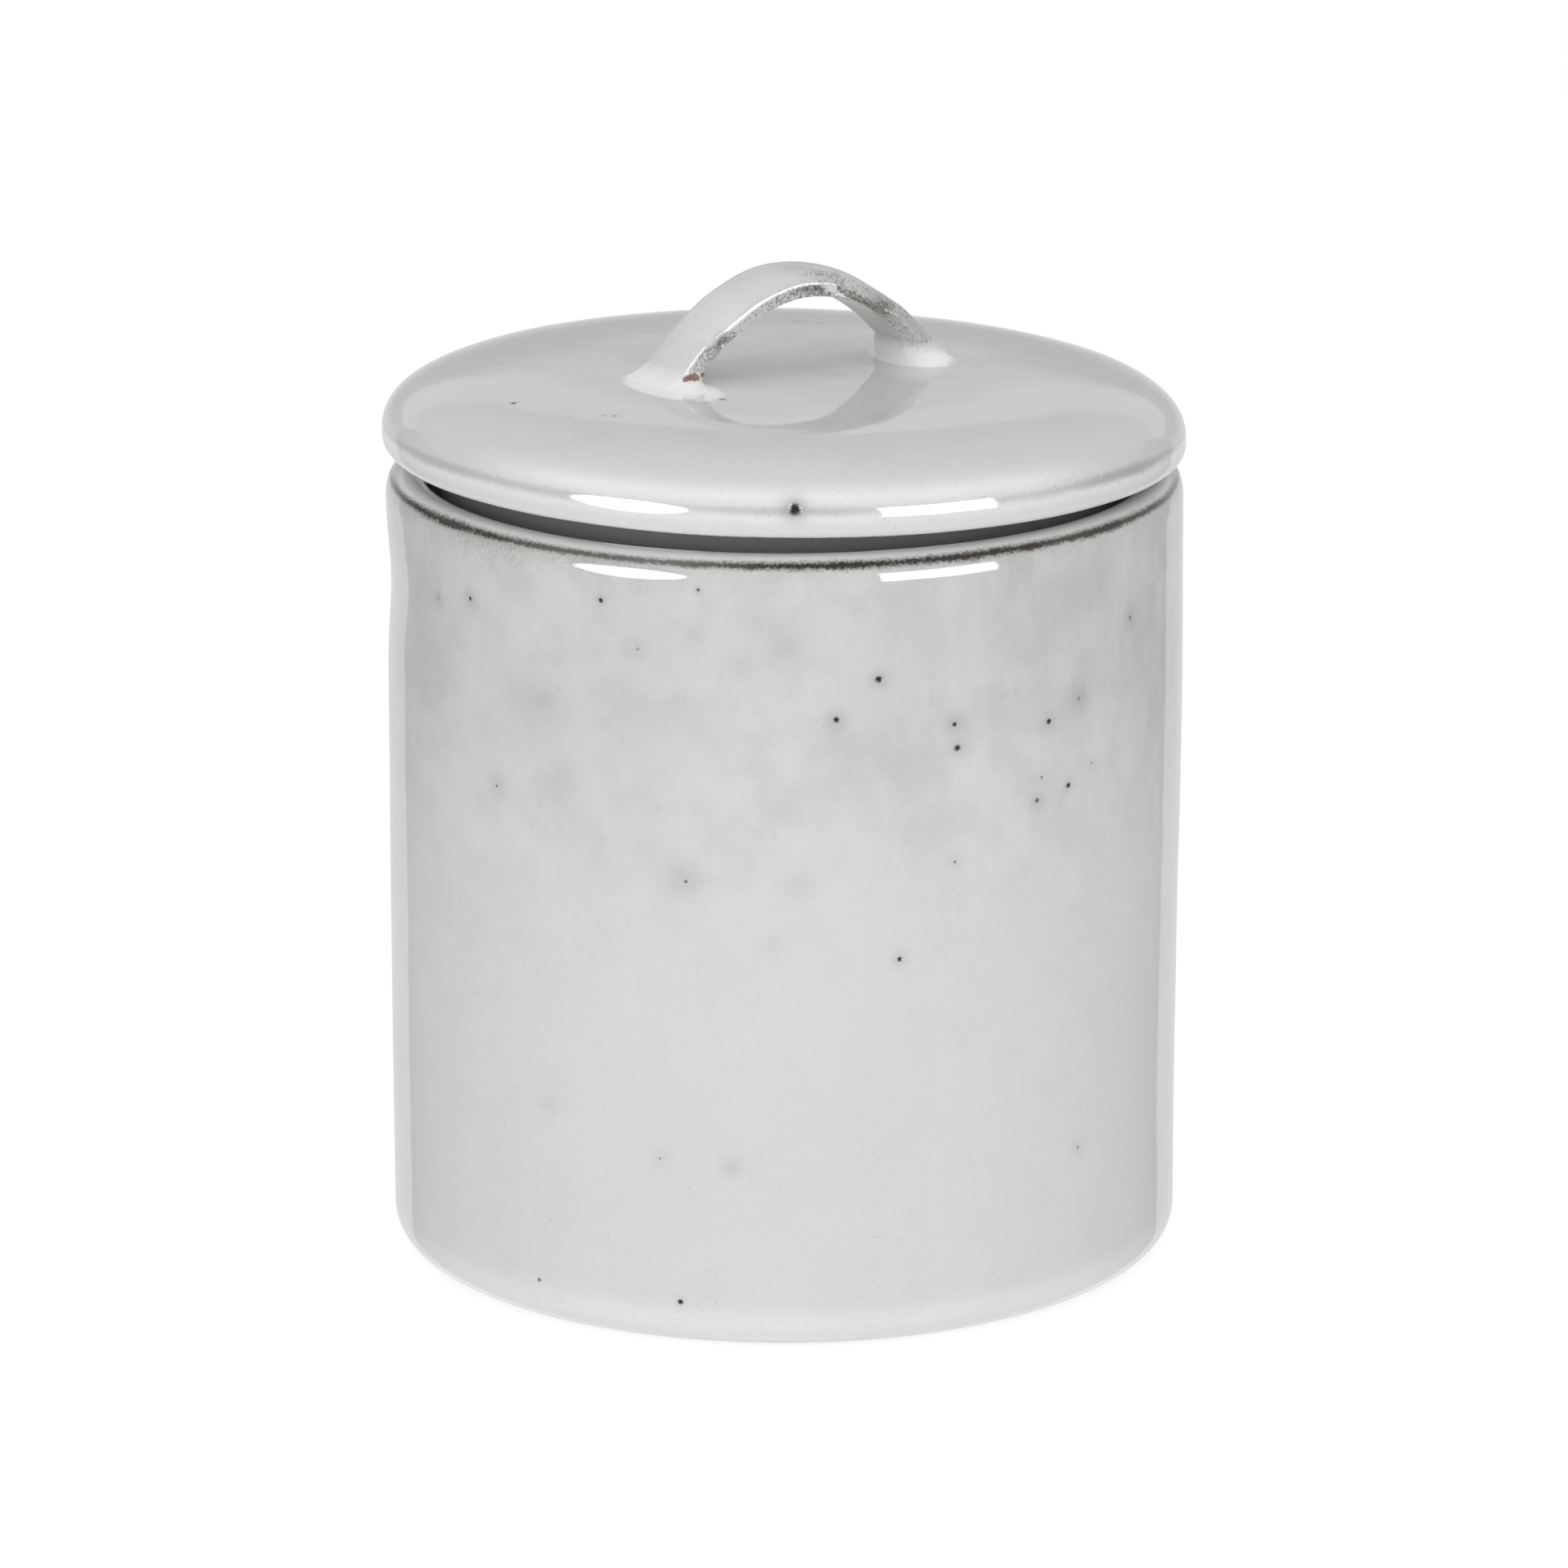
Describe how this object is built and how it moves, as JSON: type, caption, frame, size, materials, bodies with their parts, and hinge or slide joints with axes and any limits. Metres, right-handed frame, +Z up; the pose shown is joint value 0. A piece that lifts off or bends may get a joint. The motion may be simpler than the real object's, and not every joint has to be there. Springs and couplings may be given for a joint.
{
  "type": "lidded stoneware jar",
  "caption": "Round straight-sided stoneware jar with a lift-off domed lid, a locating ring under the lid and a small arched strap handle on top.",
  "frame": {"origin": "middle of the foot, on the surface the jar stands on", "axes": "+Z up through the middle of the jar, +X along the arch of the handle"},
  "size_m": [0.121, 0.121, 0.1513],
  "materials": {
    "jar_glaze": "gloss",
    "lid_glaze": "gloss",
    "handle_glaze": "gloss"
  },
  "bodies": {
    "jar": {"jar_body": "jar_glaze"},
    "lid": {"lid_plate": "lid_glaze", "lid_locating_ring": "lid_glaze", "strap_handle": "handle_glaze"}
  },
  "joints": [
    {"name": "lid_lift", "type": "slide", "parent": "jar", "child": "lid", "axis": [0, 0, 1], "range_m": [0, 0.12]}
  ]
}
